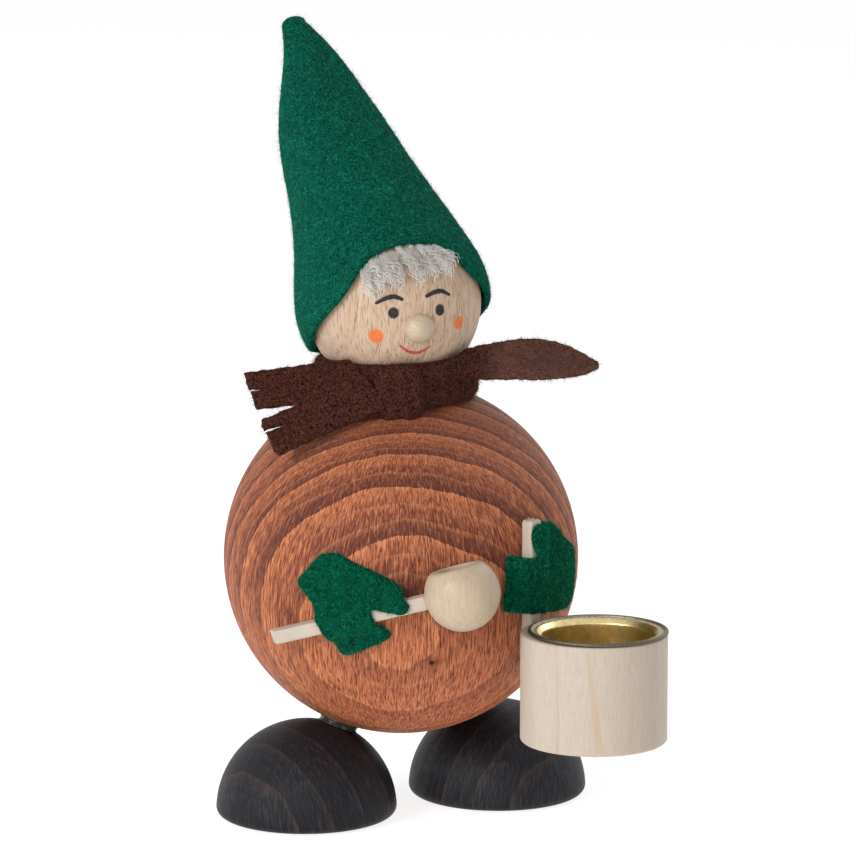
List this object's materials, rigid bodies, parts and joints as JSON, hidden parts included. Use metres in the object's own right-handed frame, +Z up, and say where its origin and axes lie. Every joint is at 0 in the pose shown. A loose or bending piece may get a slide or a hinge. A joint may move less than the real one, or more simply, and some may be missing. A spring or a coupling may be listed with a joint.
{
  "type": "wooden gnome figurine",
  "caption": "Turned wooden gnome with a felt cone hat, scarf and mittens, holding a ladle and a bucket whose brass cup takes a candle.",
  "frame": {"origin": "on the standing plane, straight under the middle of the body ball", "axes": "+Z up, along the candle socket; the figure faces -Y; +X towards its left hand"},
  "size_m": [0.0828, 0.1037, 0.1654],
  "materials": {
    "stained_beech": "beech stained red-brown, matt",
    "pale_beech": "bare pale wood, matt",
    "black_beech": "beech stained black, matt",
    "green_felt": "green wool felt",
    "brown_felt": "brown wool felt",
    "grey_wool": "loose grey-white wool",
    "brass": "pressed brass, dull gold",
    "steel": "plain wire"
  },
  "bodies": {
    "figure": {"ball_body": "stained_beech", "head": "pale_beech", "neck_dowel": "pale_beech", "nose": "pale_beech", "hat": "green_felt", "hair": "grey_wool", "scarf": "brown_felt", "mitten_right": "green_felt", "mitten_left": "green_felt", "ladle_bowl": "pale_beech", "ladle_handle": "pale_beech", "bucket": "pale_beech", "bucket_stave": "pale_beech", "stave_brad": "steel", "foot_right": "black_beech", "foot_left": "black_beech", "foot_dowel_right": "pale_beech", "foot_dowel_left": "pale_beech"},
    "cup": {"candle_cup": "brass"}
  },
  "joints": [
    {"name": "cup_lift", "type": "slide", "parent": "figure", "child": "cup", "axis": [0, 0, 1], "range_m": [0, 0.022]}
  ]
}
